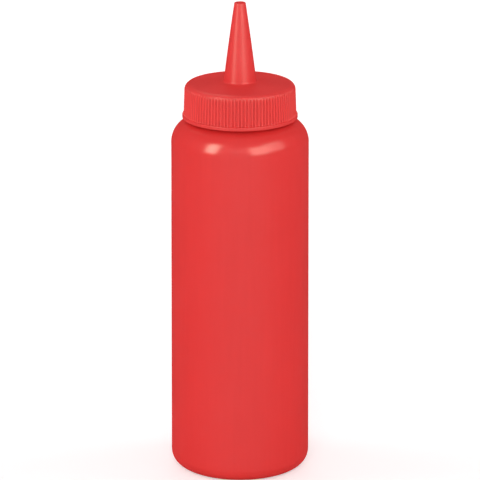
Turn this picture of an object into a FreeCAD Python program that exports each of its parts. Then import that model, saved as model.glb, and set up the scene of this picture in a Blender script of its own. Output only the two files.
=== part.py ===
import FreeCAD, Part
import math
import os
import Sketcher

# Squeeze bottle for sauces: a blow-moulded bottle and its moulded screw cap,
# whose conical nozzle is open at the tip. The two pieces are turned about the
# vertical axis, and a ring of grip ribs is cut into the skirt of the cap.
# Millimetres, +Z up, origin on the axis in the plane of the standing ring.

SIZES = (
    ("overall_height", 240.0, "standing ring to nozzle tip"),
    ("body_radius", 34.85, "outside, just above the base corner"),
    ("body_taper", 0.5, "how much narrower the body is at its shoulder"),
    ("base_corner", 7.4, "radius between the side and the base"),
    ("ring_width", 4.0, "flat ring that the bottle stands on"),
    ("ring_round", 1.6, "round between the ring and the push-up"),
    ("push_up", 2.0, "rise of the base inside the standing ring"),
    ("shoulder_radius", 11.6, "round between the side and the neck"),
    ("shoulder_gap", 0.85, "shoulder crest below the cap"),
    ("neck_inset", 9.1, "neck radius less than the shoulder's"),
    ("neck_root", 0.8, "round where the neck leaves the shoulder"),
    ("bottle_wall", 1.2, "wall of the bottle all over"),
    ("thread_gap", 0.8, "between the neck and the skirt"),
    ("cap_height", 17.2, "open end of the cap to its rim"),
    ("skirt_wall", 2.0, "at the foot of the ribs"),
    ("skirt_draft", 0.5, "how much narrower the skirt is at the rim"),
    ("flange_height", 2.5, "band at the foot of the skirt"),
    ("flange_depth", 0.7, "how far the band stands out"),
    ("flange_slope", 0.9, "height of the slope from skirt to band"),
    ("rim_round", 3.2, "round between the skirt and the deck"),
    ("deck_thickness", 1.6, "at the rim, over the neck"),
    ("deck_rise", 1.15, "how much the deck climbs to the nozzle"),
    ("hollow_rise", 0.7, "how much the hollow under it climbs to the nozzle"),
    ("rib_count", 100, "grip ribs round the skirt"),
    ("valley_depth", 0.55, "between two ribs"),
    ("valley_floor", 0.5, "flat floor between two ribs"),
    ("valley_flank", 25.0, "degrees, each side of a rib from the radius"),
    ("valley_reach", 0.8, "how far a valley runs down the slope"),
    ("nozzle_height", 40.0, "deck to tip"),
    ("nozzle_base", 8.15, "outside radius at the deck"),
    ("nozzle_tip", 2.8, "outside radius at the tip"),
    ("nozzle_swell", 1600.0, "radius of the side seen from the front"),
    ("nozzle_root", 0.7, "round between the nozzle and the deck"),
    ("nozzle_lip", 0.6, "round of the outer edge at the tip"),
    ("bore_base", 6.7, "inside radius at the deck"),
    ("bore_tip", 1.5, "radius of the hole"),
    ("bore_land", 2.0, "straight length of the hole"),
    ("overcut", 1.0, "how far a cut runs past what it cuts"),
)

FLOOR = 0.0


class Size:
    """A number together with the sheet expression that gives it."""

    def __init__(self, value, text):
        self.value = value
        self.text = text

    def join(self, other, sign, value):
        text = other.text if isinstance(other, Size) else repr(other)
        return Size(value, "(%s %s %s)" % (self.text, sign, text))

    def __add__(self, other):
        return self.join(other, "+", self.value + number(other))

    def __sub__(self, other):
        return self.join(other, "-", self.value - number(other))

    def __mul__(self, other):
        return self.join(other, "*", self.value * number(other))

    def __truediv__(self, other):
        return self.join(other, "/", self.value / number(other))


def number(size):
    return size.value if isinstance(size, Size) else size


def tangent(angle):
    return Size(math.tan(math.radians(angle.value)), "tan(%s)" % angle.text)


def square_root(size):
    return Size(math.sqrt(size.value), "sqrt(%s)" % size.text)


def make_sheet(doc):
    """Write the driving sizes to a sheet, one row each."""
    sheet = doc.addObject("Spreadsheet::Sheet", "Sizes")
    for row, (alias, value, note) in enumerate(SIZES, start=1):
        sheet.set("A%d" % row, alias)
        sheet.set("B%d" % row, str(value))
        sheet.set("C%d" % row, note)
        sheet.setAlias("B%d" % row, alias)
    doc.recompute()
    return {alias: Size(sheet.get(alias), "Sizes." + alias) for alias, _, _ in SIZES}


def origin_plane(body, role):
    for feature in body.Origin.OriginFeatures:
        if feature.Role == role:
            return feature
    raise ValueError("no origin plane " + role)


def new_sketch(body, name, role):
    sketch = body.newObject("Sketcher::SketchObject", name)
    sketch.AttachmentSupport = [(origin_plane(body, role), "")]
    sketch.MapMode = "FlatFace"
    return sketch


def tie(sketch, kind, geometry, point, size):
    """Hold a point of the sketch at a sheet size from the sketch's origin."""
    if size is None:
        axis = -2 if kind == "DistanceX" else -1
        sketch.addConstraint(Sketcher.Constraint("PointOnObject", geometry, point, axis))
        return
    ends, text = (-1, 1, geometry, point), size.text
    if size.value < 0:
        ends, text = (geometry, point, -1, 1), "-" + text
    index = sketch.addConstraint(Sketcher.Constraint(kind, *ends, abs(size.value)))
    sketch.setExpression("Constraints[%d]" % index, text)


def bent_edge(start, end, radius):
    """Arc from start to end that bulges to the right of the way it runs."""
    chord = end - start
    sag = radius - math.sqrt(radius ** 2 - (chord.Length / 2) ** 2)
    outward = FreeCAD.Vector(chord.y, -chord.x, 0).normalize()
    return Part.Arc(start, (start + end) / 2 + outward * sag, end)


def draw_outline(sketch, corners):
    """Draw a closed outline anticlockwise through its corners.

    A corner is (across, up), and None puts it on the axis. A third entry is
    the radius of the edge that leaves it, which then bulges outwards.
    """
    spots = [FreeCAD.Vector(number(c[0]) or 0, number(c[1]) or 0, 0) for c in corners]
    for corner, start, end in zip(corners, spots, spots[1:] + spots[:1]):
        if len(corner) == 3:
            sketch.addGeometry(bent_edge(start, end, corner[2].value), False)
        else:
            sketch.addGeometry(Part.LineSegment(start, end), False)
    for edge, corner in enumerate(corners):
        edge_before = (edge - 1) % len(corners)
        sketch.addConstraint(Sketcher.Constraint("Coincident", edge_before, 2, edge, 1))
        tie(sketch, "DistanceX", edge, 1, corner[0])
        tie(sketch, "DistanceY", edge, 1, corner[1])
        if len(corner) == 3:
            bend = Sketcher.Constraint("Radius", edge, corner[2].value)
            index = sketch.addConstraint(bend)
            sketch.setExpression("Constraints[%d]" % index, corner[2].text)


def turn(body, kind, name, sketch):
    """Turn a sketch about the upright axis, to add (Revolution) or cut (Groove)."""
    feature = body.newObject("PartDesign::" + kind, name)
    feature.Profile = sketch
    feature.ReferenceAxis = (sketch, ["V_Axis"])
    feature.Angle = 360
    body.Document.recompute()
    return feature


def circle_edge(shape, radius, height):
    """Name of the circular edge that has this radius at this height."""
    for index, edge in enumerate(shape.Edges, start=1):
        curve = edge.Curve
        if not isinstance(curve, Part.Circle):
            continue
        off = abs(curve.Radius - number(radius)) + abs(curve.Center.z - number(height))
        if off < 1e-4:
            return "Edge%d" % index
    raise ValueError("no edge of radius %g at height %g" % (number(radius), number(height)))


def round_edge(body, name, base, radius, height, rounding):
    """Fillet the one circular edge at this radius and height."""
    feature = body.newObject("PartDesign::Fillet", name)
    feature.Base = (base, [circle_edge(base.Shape, radius, height)])
    feature.setExpression("Radius", rounding.text)
    body.Document.recompute()
    return feature


def new_body(doc, label):
    body = doc.addObject("PartDesign::Body", label)
    body.Label = label
    return body


def shared_places(s):
    """Radii and heights where the cap and the bottle meet."""
    s["rim_height"] = s["overall_height"] - s["nozzle_height"] - s["deck_rise"]
    s["cap_bottom"] = s["rim_height"] - s["cap_height"]
    s["seat_height"] = s["rim_height"] - s["deck_thickness"]
    s["shoulder_edge"] = s["body_radius"] - s["body_taper"]
    s["neck_radius"] = s["shoulder_edge"] - s["neck_inset"]
    s["neck_bore"] = s["neck_radius"] - s["bottle_wall"]


def build_bottle(doc, s):
    """Blow-moulded bottle: body, shoulder and neck of one even wall."""
    body = new_body(doc, "bottle")
    ring_outer = s["body_radius"] - s["base_corner"]
    ring_inner = ring_outer - s["ring_width"]
    shoulder_start = s["cap_bottom"] - s["shoulder_gap"] - s["shoulder_radius"]
    across = s["neck_radius"] - s["shoulder_edge"] + s["shoulder_radius"]
    climb = square_root(s["shoulder_radius"] * s["shoulder_radius"] - across * across)
    neck_foot = shoulder_start + climb

    sketch = new_sketch(body, "bottle_outline", "XZ_Plane")
    draw_outline(sketch, (
        (None, s["push_up"]),
        (ring_inner - s["push_up"], s["push_up"]),
        (ring_inner, None),
        (s["body_radius"], None),
        (s["shoulder_edge"], shoulder_start, s["shoulder_radius"]),
        (s["neck_radius"], neck_foot),
        (s["neck_radius"], s["seat_height"]),
        (None, s["seat_height"]),
    ))
    solid = turn(body, "Revolution", "bottle_turned", sketch)
    solid = round_edge(body, "base_corner", solid, s["body_radius"], FLOOR, s["base_corner"])
    solid = round_edge(body, "ring_round", solid, ring_inner, FLOOR, s["ring_round"])
    solid = round_edge(body, "neck_root", solid, s["neck_radius"], neck_foot, s["neck_root"])

    wall = body.newObject("PartDesign::Thickness", "bottle_wall")
    wall.Base = (solid, [top_face(solid.Shape)])
    wall.setExpression("Value", s["bottle_wall"].text)
    wall.Join = "Intersection"
    wall.Reversed = True
    return body


def top_face(shape):
    heights = [face.CenterOfMass.z for face in shape.Faces]
    return "Face%d" % (heights.index(max(heights)) + 1)


def build_cap(doc, s):
    """Moulded cap: ribbed skirt, domed deck and hollow nozzle in one piece."""
    body = new_body(doc, "cap")
    band_top = s["cap_bottom"] + s["flange_height"]
    skirt_bore = s["neck_radius"] + s["thread_gap"]
    skirt_foot = skirt_bore + s["skirt_wall"]
    band_radius = skirt_foot + s["flange_depth"]
    rim_radius = skirt_foot - s["skirt_draft"]
    crown = s["rim_height"] + s["deck_rise"]

    sketch = new_sketch(body, "cap_outline", "XZ_Plane")
    draw_outline(sketch, (
        (None, s["cap_bottom"]),
        (band_radius, s["cap_bottom"]),
        (band_radius, band_top - s["flange_slope"]),
        (skirt_foot, band_top),
        (rim_radius, s["rim_height"]),
        (s["nozzle_base"], crown, s["nozzle_swell"]),
        (s["nozzle_tip"], s["overall_height"]),
        (None, s["overall_height"]),
    ))
    solid = turn(body, "Revolution", "cap_turned", sketch)
    solid = round_edge(body, "rim_round", solid, rim_radius, s["rim_height"], s["rim_round"])
    solid = round_edge(body, "nozzle_root", solid, s["nozzle_base"], crown, s["nozzle_root"])
    tip = s["overall_height"]
    solid = round_edge(body, "nozzle_lip", solid, s["nozzle_tip"], tip, s["nozzle_lip"])

    sketch = new_sketch(body, "cap_hollow_outline", "XZ_Plane")
    draw_outline(sketch, (
        (None, s["cap_bottom"] - s["overcut"]),
        (skirt_bore, s["cap_bottom"] - s["overcut"]),
        (skirt_bore, s["seat_height"]),
        (s["neck_bore"], s["seat_height"]),
        (s["bore_base"], s["seat_height"] + s["hollow_rise"]),
        (s["bore_tip"], tip - s["bore_land"]),
        (s["bore_tip"], tip + s["overcut"]),
        (None, tip + s["overcut"]),
    ))
    hollow = turn(body, "Groove", "cap_hollow", sketch)
    must_cut(hollow, solid)

    ribs = cut_valleys(body, s, band_top, skirt_foot)
    must_cut(ribs, hollow)
    body.Tip = ribs
    return body


def cut_valleys(body, s, band_top, skirt_foot):
    """Cut the valleys between the grip ribs.

    Each valley starts on the slope of the band, follows the draft of the skirt
    and runs out through the round of the rim, so the ribs end in that round.
    """
    climb = s["cap_height"] - s["flange_height"]
    lean = s["skirt_draft"] / climb
    radius = skirt_foot + lean * s["valley_reach"]
    outer = radius + s["overcut"]
    inner = radius - s["valley_depth"]
    flank = (s["valley_depth"] + s["overcut"]) * tangent(s["valley_flank"])
    half_inner = s["valley_floor"] / 2
    half_outer = half_inner + flank

    sketch = new_sketch(body, "valley_outline", "XY_Plane")
    sketch.setExpression("AttachmentOffset.Base.z", (band_top - s["valley_reach"]).text)
    draw_outline(sketch, (
        (inner, half_inner * -1),
        (outer, half_outer * -1),
        (outer, half_outer),
        (inner, half_inner),
    ))
    valley = body.newObject("PartDesign::Pocket", "valley")
    valley.Profile = sketch
    valley.UseCustomVector = True
    valley.Direction = FreeCAD.Vector(-lean.value, 0, 1)
    valley.setExpression("Direction.x", (lean * -1).text)
    valley.setExpression("Length", (climb + s["valley_reach"] + s["overcut"]).text)
    valley.AlongSketchNormal = True
    body.Document.recompute()

    ring = body.newObject("PartDesign::PolarPattern", "grip_ribs")
    ring.Originals = [valley]
    ring.Axis = (sketch, ["N_Axis"])
    ring.Angle = 360
    ring.setExpression("Occurrences", s["rib_count"].text)
    body.Tip = ring
    body.Document.recompute()
    return ring


def must_cut(after, before):
    """Stop if a cut took nothing away."""
    if after.Shape.Volume > before.Shape.Volume - 1:
        raise RuntimeError(after.Name + " cut nothing")


def check(doc):
    """Stop if any object failed or holds no sound shape."""
    for item in doc.Objects:
        if "Invalid" in item.State or "Error" in item.State:
            raise RuntimeError("%s: %s" % (item.Name, item.State))
        if hasattr(item, "Shape") and not item.isDerivedFrom("App::OriginFeature"):
            if item.Shape.isNull() or not item.Shape.isValid():
                raise RuntimeError(item.Name + " has no sound shape")


def main():
    doc = FreeCAD.newDocument("squeeze_bottle")
    sizes = make_sheet(doc)
    shared_places(sizes)
    bodies = (build_bottle(doc, sizes), build_cap(doc, sizes))
    doc.recompute()
    check(doc)
    os.makedirs("parts", exist_ok=True)
    for body in bodies:
        body.Shape.exportStep("parts/%s.step" % body.Label)
        print(body.Label, "volume", round(body.Shape.Volume), "faces", len(body.Shape.Faces))


main()
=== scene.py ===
import math

import bmesh
import bpy
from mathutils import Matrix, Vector, noise


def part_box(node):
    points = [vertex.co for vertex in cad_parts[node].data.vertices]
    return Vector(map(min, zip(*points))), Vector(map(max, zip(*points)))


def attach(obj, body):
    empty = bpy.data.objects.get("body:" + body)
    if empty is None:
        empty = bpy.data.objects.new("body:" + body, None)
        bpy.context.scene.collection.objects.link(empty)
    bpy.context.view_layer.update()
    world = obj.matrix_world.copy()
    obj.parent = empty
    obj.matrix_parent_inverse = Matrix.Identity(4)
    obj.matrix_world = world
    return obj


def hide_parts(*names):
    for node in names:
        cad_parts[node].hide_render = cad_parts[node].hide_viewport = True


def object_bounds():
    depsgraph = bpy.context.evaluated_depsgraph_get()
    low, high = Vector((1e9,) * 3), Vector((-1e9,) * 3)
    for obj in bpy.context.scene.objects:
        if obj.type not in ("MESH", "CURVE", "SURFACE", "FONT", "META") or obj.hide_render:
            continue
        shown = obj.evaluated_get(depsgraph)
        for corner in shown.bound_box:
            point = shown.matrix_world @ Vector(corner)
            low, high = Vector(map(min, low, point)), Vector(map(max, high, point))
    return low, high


# A squeeze bottle in the studio. The blow-moulded bottle and its ribbed cap with
# the hollow nozzle are turned here as finer meshes, in the places of their CAD
# solids. Metres, +Z up, the object stands on Z = 0 with its axis at X = Y = 0.

MM = 0.001

# The bottle: sizes of the CAD model.
BASE_CORNER = 7.4 * MM
RING_WIDTH = 4.0 * MM
RING_ROUND = 1.6 * MM
PUSH_UP = 2.0 * MM
BODY_TAPER = 0.5 * MM
SHOULDER_RADIUS = 11.6 * MM
SHOULDER_GAP = 0.85 * MM
NECK_INSET = 9.1 * MM
NECK_ROOT = 0.8 * MM
BOTTLE_WALL = 1.2 * MM

# The bottle: what blow moulding adds, which only this visual model has.
PUSH_UP_ROUND = 2.5 * MM
PARTING_HEIGHT = 0.04 * MM
PARTING_HALF_WIDTH = 0.35 * MM
PINCH_HEIGHT = 0.5 * MM
PINCH_HALF_WIDTH = 0.8 * MM
PINCH_HALF_LENGTH = 15.0 * MM
PINCH_FADE = 2.0 * MM
WALL_WAVE = 0.05 * MM
WAVE_SCALE = 28
WAVE_STRETCH = 0.5
WAVE_FADE = 12 * MM
WAVE_END = 25 * MM  # the waves end this far under the top of the neck

# The cap: sizes of the CAD model.
CAP_HEIGHT = 17.2 * MM
THREAD_GAP = 0.8 * MM
SKIRT_WALL = 2.0 * MM
SKIRT_DRAFT = 0.5 * MM
BAND_HEIGHT = 2.5 * MM
BAND_DEPTH = 0.7 * MM
BAND_SLOPE = 0.9 * MM
RIM_ROUND = 3.2 * MM
DECK_THICKNESS = 1.6 * MM
DECK_RISE = 1.15 * MM
HOLLOW_RISE = 0.7 * MM
RIB_COUNT = 100
VALLEY_DEPTH = 0.55 * MM
VALLEY_HALF_FLOOR = 0.25 * MM
VALLEY_FLANK = 25.0
VALLEY_REACH = 0.8 * MM
NOZZLE_BASE = 8.15 * MM
NOZZLE_TIP = 2.8 * MM
NOZZLE_LIP = 0.6 * MM
BORE_BASE = 6.7 * MM
BORE_TIP = 1.5 * MM
BORE_LAND = 2.0 * MM

# The cap: soft edges, and how far the nozzle's side bows out at its middle.
BAND_EDGE = 0.35 * MM
VALLEY_RUN_IN = 0.25 * MM
RIB_SOFTNESS = 0.10 * MM
NOZZLE_SWELL = 0.128 * MM
NOZZLE_ROOT = 0.9 * MM
BORE_EDGE = 0.25 * MM

# How finely the outlines are divided: arcs in degrees, straight runs in length.
ARC_STEP = 7.0
TOP_ARC_STEP = 9.0
OUTSIDE_RUN = 4 * MM
INSIDE_RUN = 8 * MM
SKIRT_RUN = 3.0 * MM
TOP_RUN = 2.5 * MM
SHOULDER_STEPS = 19
SHOULDER_STOP = 0.07  # radians left between the shoulder's arc and the neck
NOZZLE_STEPS = 24
BODY_SEGMENTS = 240
DECK_SEGMENTS = 200
SEAM_ROOM = 1.5  # half widths of a parting line that are kept free of other vertices
ON_AXIS = 1e-6
SHARP_ANGLE = 50
# Where the vertices of one rib lie, as distances across from a valley's middle.
RIB_STEPS = [step * MM for step in (0, 0.2, 0.27, 0.36, 0.45, 0.53, 0.64)]

# Dyed polyethylene. Noise scales count per metre.
CLOUD_SCALE = 26
STREAK_SCALE = 420
STREAK_STRETCH = (1, 1, 0.06)
GRAIN_SCALE = 1600
PEEL_SCALE = 260
GRAIN_SHARE = 0.08  # height of the grain as a share of the peel
PLASTIC_IOR = 1.51
GRAZING_FALL = 4.0
SCATTER_RADIUS = (1.0, 0.12, 0.08)
# Painted light on the cap's grip ribs: colour factors for a painted sheen on the ribs and a
# painted shade in the valleys, the depths over which the painted shade comes in, and where
# both end below the rim.
RIB_PAINTED_SHEEN = (1.07, 1.08, 1.06, 1)
VALLEY_PAINTED_SHADE = (0.90, 0.88, 0.88, 1)
PAINTED_SHADE_START = 0.1 * MM
PAINTED_SHADE_FULL = 0.42 * MM
PAINTED_LIGHT_RIM = 0.6  # the tint ends this share of the rim's round below the rim

# The studio.
WHITE = (1, 1, 1, 1)
FLOOR_HALF_SIZE = 6.0
FLOOR_GREY = 0.8
FLOOR_GLOW = 0.4
AMBIENT = 0.4
LAMP_AIM = 0.12
LENS = 291.8
CAMERA_TILT = 16.535
CAMERA_DISTANCE = 1.955
CAMERA_AIM = 0.4901  # as a share of the object's height


def rounded(points, step=ARC_STEP):
    """Outline through (across, up, radius) points, with an arc at each radius."""
    outline = []
    for index, (across, up, radius) in enumerate(points):
        corner = Vector((across, up))
        if not radius:
            outline.append(corner)
            continue
        back = (Vector(points[index - 1][:2]) - corner).normalized()
        ahead = (Vector(points[index + 1][:2]) - corner).normalized()
        half = back.angle(ahead) / 2
        centre = corner + (back + ahead).normalized() * (radius / math.sin(half))
        spoke = corner + back * (radius / math.tan(half)) - centre
        side = 1 if back.x * ahead.y < back.y * ahead.x else -1
        sweep = math.pi - 2 * half
        count = max(3, math.ceil(math.degrees(sweep) / step))
        for i in range(count + 1):
            turn = side * sweep * i / count
            c, s = math.cos(turn), math.sin(turn)
            outline.append(centre + Vector((spoke.x * c - spoke.y * s,
                                            spoke.x * s + spoke.y * c)))
    return outline


def divided(outline, longest):
    """The outline with its long straight runs divided."""
    points = [outline[0]]
    for start, end in zip(outline, outline[1:]):
        count = max(1, math.ceil((end - start).length / longest))
        points += [start.lerp(end, i / count) for i in range(1, count + 1)]
    return points


def with_heights(outline, heights):
    """The outline with points added where it first climbs past these heights."""
    points = list(outline)
    for height in heights:
        for index, (low, high) in enumerate(zip(points, points[1:])):
            if low.y < height < high.y:
                share = (height - low.y) / (high.y - low.y)
                points.insert(index + 1, low.lerp(high, share))
                break
    return points


def inset(outline, depth):
    """The outline moved to the left of the way it runs, but not past the axis."""
    moved = []
    for index, point in enumerate(outline):
        before = outline[max(index - 1, 0)]
        after = outline[min(index + 1, len(outline) - 1)]
        along = (after - before).normalized()
        moved.append(Vector((max(point.x - along.y * depth, 0), point.y + along.x * depth)))
    moved[0].x = 0
    return moved


def ring(mesh, angles, place):
    """A ring of vertices, or one vertex where the ring has shrunk to the axis."""
    if place(0).xy.length < ON_AXIS:
        return [mesh.verts.new(place(0))]
    return [mesh.verts.new(place(angle)) for angle in angles]


def join_rings(mesh, lower, upper):
    """Faces between two rings, whose counts may differ by a whole factor."""
    if len(lower) < len(upper):
        join_fans(mesh, lower, upper, False)
    elif len(upper) < len(lower):
        join_fans(mesh, upper, lower, True)
    else:
        count = len(lower)
        for i in range(count):
            j = (i + 1) % count
            mesh.faces.new((lower[i], lower[j], upper[j], upper[i]))


def join_fans(mesh, coarse, fine, flip):
    """Faces from each vertex of the coarse ring to its share of the fine one."""
    share = len(fine) // len(coarse)
    for i, hub in enumerate(coarse):
        near = [fine[(i * share + k) % len(fine)] for k in range(share + 1)]
        half = share // 2 if len(coarse) > 1 else share
        hubs = [hub] * half + [coarse[(i + 1) % len(coarse)]] * (share - half)
        faces = [(hubs[k], near[k + 1], near[k]) for k in range(share)]
        if 0 < half < share:
            faces.append((hub, coarse[(i + 1) % len(coarse)], near[half]))
        for face in faces:
            mesh.faces.new(face[::-1] if flip else face)


def finish_piece(mesh, name, node):
    """Turn the mesh into the piece that stands for a CAD node."""
    bmesh.ops.recalc_face_normals(mesh, faces=mesh.faces)
    for face in mesh.faces:
        face.smooth = True
    data = bpy.data.meshes.new(name)
    mesh.to_mesh(data)
    mesh.free()
    data.set_sharp_from_angle(angle=math.radians(SHARP_ANGLE))
    piece = bpy.data.objects.new(name, data)
    bpy.context.collection.objects.link(piece)
    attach(piece, "root")
    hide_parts(node)
    return piece


def spot(radius, angle, height):
    """A point at this angle from the front, counted towards +X."""
    return Vector((radius * math.sin(angle), -radius * math.cos(angle), height))


def soft_least(first, second, softness):
    """The lesser of two lengths, with the corner between them rounded off."""
    near = max(0, 1 - abs(first - second) / (4 * softness))
    return min(first, second) - softness * near * near


def within(share):
    """The share, held between 0 and 1."""
    return min(1, max(0, share))


def circle(count):
    """Evenly spaced angles all the way round."""
    return [2 * math.pi * i / count for i in range(count)]


def bottle_outline(radius, seat):
    """Outside of the bottle, from the middle of the base to the top of the neck."""
    ring_outer = radius - BASE_CORNER
    ring_inner = ring_outer - RING_WIDTH
    shoulder_edge = radius - BODY_TAPER
    neck = shoulder_edge - NECK_INSET
    shoulder_start = seat + DECK_THICKNESS - CAP_HEIGHT - SHOULDER_GAP - SHOULDER_RADIUS
    centre = shoulder_edge - SHOULDER_RADIUS
    meet = math.acos((neck - centre) / SHOULDER_RADIUS)
    points = [
        (0, PUSH_UP, 0),
        (ring_inner - PUSH_UP, PUSH_UP, PUSH_UP_ROUND),
        (ring_inner, 0, RING_ROUND),
        (radius, 0, BASE_CORNER),
    ]
    for i in range(SHOULDER_STEPS + 1):
        angle = (meet - SHOULDER_STOP) * i / SHOULDER_STEPS
        points.append((centre + SHOULDER_RADIUS * math.cos(angle),
                       shoulder_start + SHOULDER_RADIUS * math.sin(angle), 0))
    points.append((neck, shoulder_start + SHOULDER_RADIUS * math.sin(meet), NECK_ROOT))
    points.append((neck, seat, 0))
    return rounded(points)


def seamed_angles(radius):
    """Angles round the body, with five close together at each parting line."""
    sides = (math.pi / 2, 3 * math.pi / 2)
    seam = [PARTING_HALF_WIDTH / radius * share for share in (-1, -0.5, 0, 0.5, 1)]
    angles = [angle for angle in circle(BODY_SEGMENTS)
              if min(abs(angle - side) for side in sides) > seam[-1] * SEAM_ROOM]
    return sorted(angles + [side + step for side in sides for step in seam])


def make_bottle():
    """The bottle's closed shell: outside, then over the neck's top, then inside."""
    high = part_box("bottle")[1]
    outer = divided(bottle_outline(high.x, high.z), OUTSIDE_RUN)
    inner = divided(inset(bottle_outline(high.x, high.z), BOTTLE_WALL), INSIDE_RUN)
    inner[-1].y = high.z
    angles = seamed_angles(high.x)
    off_floor = 0.5 * MM
    side_radius = high.x * 0.7

    def outside(point):
        """The outside at this height: waves and parting lines, or the pinch line."""
        def place(angle):
            here = spot(point.x, angle, point.y)
            out = Vector((here.x, here.y, 0)).normalized()
            seam_share = max(0, 1 - abs(here.y) / PARTING_HALF_WIDTH)
            if point.y > off_floor and point.x > side_radius:
                sample = Vector((here.x, here.y, here.z * WAVE_STRETCH)) * WAVE_SCALE
                wave = 0.5 + 0.5 * noise.noise(sample)
                share = within((point.y - BASE_CORNER) / WAVE_FADE)
                share *= within((high.z - WAVE_END - point.y) / WAVE_FADE)
                here -= out * (PARTING_HEIGHT + share * WALL_WAVE * wave)
                here += out * PARTING_HEIGHT * seam_share
            elif point.y > off_floor:
                line = max(0, 1 - (here.y / PINCH_HALF_WIDTH) ** 2)
                line *= within((PINCH_HALF_LENGTH - abs(here.x)) / PINCH_FADE)
                here.z -= PINCH_HEIGHT * line
            return here
        return place

    mesh = bmesh.new()
    rings = [ring(mesh, angles, outside(point)) for point in outer]
    rings += [ring(mesh, angles, lambda a, p=point: spot(p.x, a, p.y))
              for point in reversed(inner)]
    for lower, upper in zip(rings, rings[1:]):
        join_rings(mesh, lower, upper)
    return finish_piece(mesh, "bottle_shell", "bottle")


def nozzle_side(foot, tip):
    """The nozzle's side from its foot to its tip, bowed out a little."""
    points = [foot.lerp(tip, i / NOZZLE_STEPS) for i in range(NOZZLE_STEPS + 1)]
    run = points[-1] - points[0]
    bulge = Vector((run.y, -run.x)).normalized()
    return [point + bulge * NOZZLE_SWELL * (1 - (2 * i / NOZZLE_STEPS - 1) ** 2)
            for i, point in enumerate(points)]


def make_cap():
    """The cap's closed shell: ribbed skirt and deck outside, then nozzle and bore."""
    low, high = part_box("cap")
    bottom, tip = low.z, high.z
    band_radius = high.x
    skirt_foot = band_radius - BAND_DEPTH
    skirt_bore = skirt_foot - SKIRT_WALL
    neck_bore = skirt_bore - THREAD_GAP - BOTTLE_WALL
    rim_radius = skirt_foot - SKIRT_DRAFT
    rim = bottom + CAP_HEIGHT
    band_top = bottom + BAND_HEIGHT
    seat = rim - DECK_THICKNESS
    crown = rim + DECK_RISE
    slope = SKIRT_DRAFT / (rim - band_top)

    pitch = 2 * math.pi / RIB_COUNT
    shares = [step / skirt_foot for step in RIB_STEPS]
    shares += [pitch / 2] + [pitch - share for share in reversed(shares[1:])]
    fine_angles = [pitch * rib + share for rib in range(RIB_COUNT) for share in shares]
    coarse_angles = circle(DECK_SEGMENTS)
    valley_foot = band_top - VALLEY_REACH

    skirt = rounded([
        (skirt_bore, bottom, 0),
        (band_radius, bottom, BAND_EDGE),
        (band_radius, band_top - BAND_SLOPE, BAND_EDGE),
        (skirt_foot, band_top, BAND_EDGE),
        (rim_radius, rim, RIM_ROUND),
        (NOZZLE_BASE, crown, 0),
    ])[:-1]
    skirt = divided(skirt, SKIRT_RUN)
    feet = [valley_foot + VALLEY_RUN_IN * share for share in (0, 0.3, 0.7, 1)]
    skirt = with_heights(skirt, feet)

    def ribbed(point):
        """Radius at this height, less the valley where there is one."""
        wall = skirt_foot - slope * (point.y - band_top)
        sunk = within((point.y - valley_foot) / VALLEY_RUN_IN)
        flank = math.tan(math.radians(VALLEY_FLANK))

        def place(angle):
            across = abs((angle + pitch / 2) % pitch - pitch / 2) * point.x
            climb = max(0, across - VALLEY_HALF_FLOOR) / flank
            floor = wall - VALLEY_DEPTH + climb
            cut = soft_least(point.x, floor, RIB_SOFTNESS)
            return spot(point.x + (cut - point.x) * sunk, angle, point.y)
        return place

    nozzle = nozzle_side(Vector((NOZZLE_BASE, crown)), Vector((NOZZLE_TIP, tip)))
    top = rounded([
        (skirt[-1].x, skirt[-1].y, 0),
        (nozzle[0].x, nozzle[0].y, NOZZLE_ROOT),
        *[(point.x, point.y, 0) for point in nozzle[1:-1]],
        (nozzle[-1].x, nozzle[-1].y, NOZZLE_LIP),
        (BORE_TIP, tip, BORE_EDGE),
        (BORE_TIP, tip - BORE_LAND, BORE_EDGE),
        (BORE_BASE, seat + HOLLOW_RISE, BORE_EDGE),
        (neck_bore, seat, 0),
        (skirt_bore, seat, BORE_EDGE),
        (skirt_bore, bottom, 0),
    ], TOP_ARC_STEP)[1:]
    top = divided(top, TOP_RUN)

    mesh = bmesh.new()
    rings = [ring(mesh, fine_angles, ribbed(point)) for point in skirt]
    rings += [ring(mesh, coarse_angles, lambda a, p=point: spot(p.x, a, p.y))
              for point in top[:-1]]
    for lower, upper in zip(rings, rings[1:] + rings[:1]):
        join_rings(mesh, lower, upper)
    return finish_piece(mesh, "cap_shell", "cap")


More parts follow.
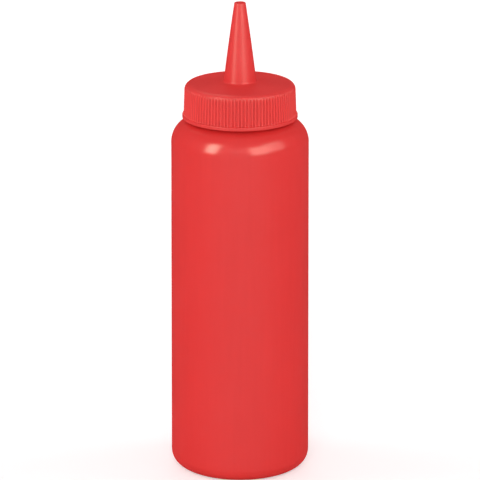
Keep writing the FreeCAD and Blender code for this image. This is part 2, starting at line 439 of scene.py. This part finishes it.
class Nodes:
    """Short calls for building one node tree."""

    def __init__(self, owner):
        owner.use_nodes = True
        self.tree = owner.node_tree
        self.tree.nodes.clear()

    def add(self, kind, **settings):
        """A new shader node with these settings."""
        node = self.tree.nodes.new("ShaderNode" + kind)
        for name, value in settings.items():
            setattr(node, name, value)
        return node

    def link(self, source, target):
        self.tree.links.new(source, target)

    def value(self, source, target):
        """Link a socket, or write a plain value."""
        if isinstance(source, bpy.types.NodeSocket):
            self.link(source, target)
        else:
            target.default_value = source

    def noise(self, coordinates, scale, detail):
        node = self.add("TexNoise")
        node.inputs["Scale"].default_value = scale
        node.inputs["Detail"].default_value = detail
        node.inputs["Roughness"].default_value = 0.5
        self.link(coordinates, node.inputs["Vector"])
        return node.outputs["Fac"]

    def stretch(self, coordinates, scale):
        node = self.add("Mapping")
        node.inputs["Scale"].default_value = scale
        self.link(coordinates, node.inputs["Vector"])
        return node.outputs["Vector"]

    def math(self, operation, *values, clamp=False):
        node = self.add("Math", operation=operation, use_clamp=clamp)
        for socket, value in zip(node.inputs, values):
            self.value(value, socket)
        return node.outputs["Value"]

    def range(self, source, low, high, to_low, to_high):
        node = self.add("MapRange")
        self.link(source, node.inputs["Value"])
        for name, value in (("From Min", low), ("From Max", high),
                            ("To Min", to_low), ("To Max", to_high)):
            node.inputs[name].default_value = value
        return node.outputs["Result"]

    def mix(self, factor, first, second):
        """The first colour where the factor is 0, the second where it is 1."""
        node = self.add("Mix", data_type="RGBA")
        self.link(factor, node.inputs["Factor"])
        self.value(first, node.inputs[6])
        self.value(second, node.inputs[7])
        return node.outputs[2]

    def times(self, first, second):
        """One colour multiplied by another."""
        node = self.add("Mix", data_type="RGBA", blend_type="MULTIPLY")
        node.inputs["Factor"].default_value = 1.0
        self.link(first, node.inputs[6])
        self.link(second, node.inputs[7])
        return node.outputs[2]

    def bump(self, height, distance, strength, normal=None):
        node = self.add("Bump")
        node.inputs["Distance"].default_value = distance
        node.inputs["Strength"].default_value = strength
        self.link(height, node.inputs["Height"])
        if normal:
            self.link(normal, node.inputs["Normal"])
        return node.outputs["Normal"]


def rib_painted_shade_and_sheen(nodes, place, colour):
    """Painted shade that dulls the red in the valleys between the grip ribs, and painted
    sheen that lightens the ribs.
    """
    low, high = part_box("cap")
    foot = high.x - BAND_DEPTH
    band_top = low.z + BAND_HEIGHT
    rim = low.z + CAP_HEIGHT
    parts = nodes.add("SeparateXYZ")
    nodes.link(place, parts.inputs["Vector"])
    x, y, z = parts.outputs
    squares = nodes.math("ADD", nodes.math("POWER", nodes.math("ABSOLUTE", x), 2.0),
                         nodes.math("POWER", nodes.math("ABSOLUTE", y), 2.0))
    wall = nodes.range(z, band_top, rim, foot, foot - SKIRT_DRAFT)
    depth = nodes.math("SUBTRACT", wall, nodes.math("SQRT", squares))
    sunk = nodes.range(depth, PAINTED_SHADE_START, PAINTED_SHADE_FULL, 0, 1)
    zone = nodes.math("MULTIPLY", nodes.range(z, band_top - VALLEY_REACH, band_top, 0, 1),
                      nodes.range(z, rim - RIM_ROUND, rim - PAINTED_LIGHT_RIM * RIM_ROUND, 1, 0))
    shade = nodes.mix(sunk, RIB_PAINTED_SHEEN, VALLEY_PAINTED_SHADE)
    shade = nodes.mix(zone, WHITE, shade)
    return nodes.times(colour, shade)


def soft_plastic(name, light_red, deep_red, gloss, shine, peel, scatter, reach, painted_light=None):
    """Dyed polyethylene: slightly cloudy colour, waxy gloss and a fine peel, with painted
    light multiplied into the colour where a function for it is given.
    """
    material = bpy.data.materials.new(name)
    nodes = Nodes(material)
    place = nodes.add("TexCoord").outputs["Object"]
    clouds = nodes.noise(place, CLOUD_SCALE, 4)
    streaks = nodes.noise(nodes.stretch(place, STREAK_STRETCH), STREAK_SCALE, 3)
    grain = nodes.noise(place, GRAIN_SCALE, 2)
    dye = nodes.math("ADD", nodes.range(clouds, 0.3, 0.7, 0, 0.7),
                     nodes.range(streaks, 0.35, 0.65, 0, 0.3), clamp=True)
    colour = nodes.mix(dye, light_red, deep_red)
    # Painted light, where given: painted shade and sheen multiplied into the colour.
    if painted_light:
        colour = painted_light(nodes, place, colour)
    rough = nodes.math("ADD", nodes.range(clouds, 0.3, 0.7, gloss - 0.02, gloss + 0.03),
                       nodes.range(grain, 0.3, 0.7, -0.02, 0.02))
    normal = nodes.bump(nodes.noise(place, PEEL_SCALE, 2), peel, 1.0)
    normal = nodes.bump(grain, peel * GRAIN_SHARE, 1.0, normal)

    shader = nodes.add("BsdfPrincipled")
    nodes.link(colour, shader.inputs["Base Color"])
    nodes.link(rough, shader.inputs["Roughness"])
    nodes.link(normal, shader.inputs["Normal"])
    shader.inputs["IOR"].default_value = PLASTIC_IOR
    # The specular level falls off towards grazing angles, so the edges stay waxy and
    # don't mirror the white studio.
    facing = nodes.add("LayerWeight")
    facing.inputs["Blend"].default_value = 0.5
    facing_share = nodes.math("SUBTRACT", 1.0, facing.outputs["Facing"])
    level = nodes.math("MULTIPLY", nodes.math("POWER", facing_share, GRAZING_FALL), shine)
    nodes.link(level, shader.inputs["Specular IOR Level"])
    shader.inputs["Subsurface Weight"].default_value = scatter
    shader.inputs["Subsurface Radius"].default_value = SCATTER_RADIUS
    shader.inputs["Subsurface Scale"].default_value = reach
    output = nodes.add("OutputMaterial")
    nodes.link(shader.outputs["BSDF"], output.inputs["Surface"])
    return material


def seen_directly(nodes):
    """1 for the rays that show the background itself, and 0 for those that light."""
    path = nodes.add("LightPath").outputs
    shown = nodes.math("ADD", path["Is Camera Ray"], path["Is Glossy Ray"], clamp=True)
    return nodes.math("ADD", shown, path["Is Transmission Ray"], clamp=True)


def make_floor():
    """A plain pale floor that glows enough to be white where no shadow falls."""
    mesh = bmesh.new()
    bmesh.ops.create_grid(mesh, x_segments=8, y_segments=8, size=FLOOR_HALF_SIZE)
    data = bpy.data.meshes.new("floor")
    mesh.to_mesh(data)
    mesh.free()
    floor = bpy.data.objects.new("floor", data)
    bpy.context.collection.objects.link(floor)
    material = bpy.data.materials.new("floor_white")
    nodes = Nodes(material)
    paper = nodes.add("BsdfDiffuse")
    paper.inputs["Color"].default_value = (FLOOR_GREY, FLOOR_GREY, FLOOR_GREY, 1)
    glow = nodes.add("Emission")
    glow.inputs["Color"].default_value = WHITE
    strength = nodes.math("MULTIPLY", seen_directly(nodes), FLOOR_GLOW)
    nodes.link(strength, glow.inputs["Strength"])
    both = nodes.add("AddShader")
    nodes.link(paper.outputs["BSDF"], both.inputs[0])
    nodes.link(glow.outputs["Emission"], both.inputs[1])
    output = nodes.add("OutputMaterial")
    nodes.link(both.outputs["Shader"], output.inputs["Surface"])
    data.materials.append(material)


def make_world():
    """White where it is seen, and dimmer as a source of light."""
    world = bpy.data.worlds.new("studio")
    bpy.context.scene.world = world
    nodes = Nodes(world)
    sky = nodes.add("Background")
    sky.inputs["Color"].default_value = WHITE
    strength = nodes.range(seen_directly(nodes), 0, 1, AMBIENT, 1)
    nodes.link(strength, sky.inputs["Strength"])
    output = nodes.add("OutputWorld")
    nodes.link(sky.outputs["Background"], output.inputs["Surface"])


def panel(name, azimuth, elevation, distance, width, height, power,
          colour=(1.0, 1.0, 1.0), shine_only=False):
    """A soft rectangular lamp that faces the middle of the object.

    Such a lamp gives either diffuse light or, with shine_only, highlights.
    """
    light = bpy.data.lights.new(name, "AREA")
    light.shape = "RECTANGLE"
    light.size = width
    light.size_y = height
    light.energy = power
    light.color = colour
    lamp = bpy.data.objects.new(name, light)
    bpy.context.collection.objects.link(lamp)
    a, e = math.radians(azimuth), math.radians(elevation)
    back = Vector((math.sin(a) * math.cos(e), -math.cos(a) * math.cos(e), math.sin(e)))
    lamp.location = Vector((0, 0, LAMP_AIM)) + back * distance
    lamp.rotation_euler = back.to_track_quat("Z", "Y").to_euler()
    lamp.visible_camera = False
    lamp.visible_diffuse = not shine_only
    lamp.visible_glossy = shine_only


def make_lights():
    """Name, azimuth and elevation in degrees, distance, width, height and power."""
    panel("key", -4, 20, 2.0, 1.0, 1.0, 19.0)
    panel("left_fill", -95, 26, 2.0, 1.2, 1.2, 12.0)
    panel("right_fill", 95, 26, 2.0, 1.2, 1.2, 11.5)
    panel("back_fill", 180, 12, 2.0, 1.2, 1.2, 10.0)
    panel("left_box", -50, 24, 1.6, 0.52, 1.20, 44.0, (1.0, 0.96, 0.76), shine_only=True)
    panel("right_box", 34, 21, 1.6, 0.90, 1.05, 25.0, (1.0, 0.98, 0.80), shine_only=True)
    panel("far_box", 66, 29, 1.6, 0.90, 1.05, 23.0, (1.0, 0.98, 0.84), shine_only=True)
    panel("rear_box", -160, 52, 1.6, 0.90, 0.60, 16.0, (1.0, 0.98, 0.84), shine_only=True)


def make_camera(height):
    """Long lens, a little above the object and looking down at it."""
    data = bpy.data.cameras.new("camera")
    data.sensor_width = 36
    data.lens = LENS
    data.clip_end = 30
    camera = bpy.data.objects.new("camera", data)
    bpy.context.collection.objects.link(camera)
    aim = Vector((0, 0, CAMERA_AIM * height))
    tilt = math.radians(CAMERA_TILT)
    back = Vector((0, -math.cos(tilt), math.sin(tilt)))
    camera.location = aim + back * CAMERA_DISTANCE
    camera.rotation_euler = back.to_track_quat("Z", "Y").to_euler()
    bpy.context.scene.camera = camera


def corners(box):
    """The box's two corners as plain lists."""
    return [list(corner) for corner in box]


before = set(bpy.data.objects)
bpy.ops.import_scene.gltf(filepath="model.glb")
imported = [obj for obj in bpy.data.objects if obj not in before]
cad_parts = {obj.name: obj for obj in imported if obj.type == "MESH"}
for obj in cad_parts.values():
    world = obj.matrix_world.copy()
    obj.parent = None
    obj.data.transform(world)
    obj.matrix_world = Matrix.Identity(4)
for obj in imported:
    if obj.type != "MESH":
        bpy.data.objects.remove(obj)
cad_box = corners(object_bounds())
bottle = make_bottle()
cap = make_cap()
bottle.data.materials.append(soft_plastic(
    "bottle_red", light_red=(0.76, 0.040, 0.038, 1), deep_red=(0.72, 0.036, 0.034, 1),
    gloss=0.21, shine=0.3, peel=0.02 * MM, scatter=0.12, reach=1.2 * MM))
# The cap's colour gets painted shade in the rib valleys and painted sheen on the ribs.
cap.data.materials.append(soft_plastic(
    "cap_red", light_red=(0.78, 0.050, 0.048, 1), deep_red=(0.74, 0.046, 0.044, 1),
    gloss=0.36, shine=0.28, peel=0.008 * MM, scatter=0.06, reach=0.5 * MM, painted_light=rib_painted_shade_and_sheen))
make_floor()
make_world()
make_lights()
make_camera(cad_box[1][2])
bpy.context.scene.view_settings.view_transform = "Standard"
